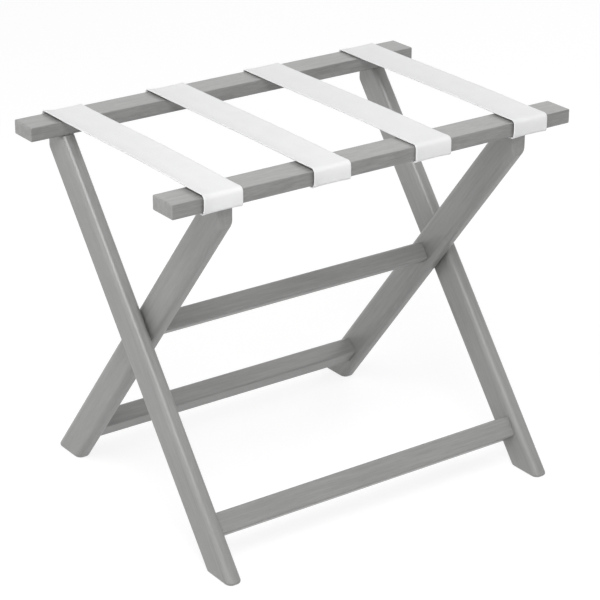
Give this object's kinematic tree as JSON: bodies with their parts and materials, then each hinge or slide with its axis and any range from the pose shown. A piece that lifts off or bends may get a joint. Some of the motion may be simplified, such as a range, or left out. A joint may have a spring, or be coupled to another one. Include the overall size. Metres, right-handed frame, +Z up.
{
  "type": "folding luggage bench",
  "caption": "Folding hotel luggage bench: crossed grey wooden frames hinged on a bar, with white webbing straps stretched between the top rails",
  "frame": {"origin": "centre of the footprint on the floor", "axes": "+X along the rails, +Y from the front rail to the rear rail, +Z up"},
  "size_m": [0.608, 0.4592, 0.5023],
  "materials": {
    "grey_wood": "satin grey stain over fine straight grain, eased edges",
    "dowel_beech": "plain fluted beech, glued",
    "fixing_steel": "zinc plated",
    "washer_nylon": "natural nylon",
    "webbing": "flat woven nylon webbing, white"
  },
  "bodies": {
    "outer_frame": {"rear_rail": "grey_wood", "outer_leg_left": "grey_wood", "outer_leg_right": "grey_wood", "front_stretcher": "grey_wood", "pivot_bar": "grey_wood", "pivot_plug_left": "grey_wood", "pivot_plug_right": "grey_wood", "front_stretcher_dowels": "dowel_beech", "pivot_bolt_left": "fixing_steel", "pivot_bolt_right": "fixing_steel", "threaded_insert_left": "fixing_steel", "threaded_insert_right": "fixing_steel", "rear_rail_screws": "fixing_steel", "rear_rail_staples": "fixing_steel", "spacer_washer_left": "washer_nylon", "spacer_washer_right": "washer_nylon", "strap_1": "webbing", "strap_2": "webbing", "strap_3": "webbing", "strap_4": "webbing"},
    "inner_frame": {"front_rail": "grey_wood", "inner_leg_left": "grey_wood", "inner_leg_right": "grey_wood", "rear_stretcher": "grey_wood", "front_rail_screws": "fixing_steel", "rear_stretcher_dowels": "dowel_beech", "front_rail_staples": "fixing_steel"}
  },
  "joints": [
    {"name": "fold", "type": "hinge", "parent": "outer_frame", "child": "inner_frame", "pos_m": [0, 0, 0.2595], "axis": [-1, 0, 0], "range_deg": [0, 58], "deforming": ["strap_1", "strap_2", "strap_3", "strap_4"]}
  ]
}
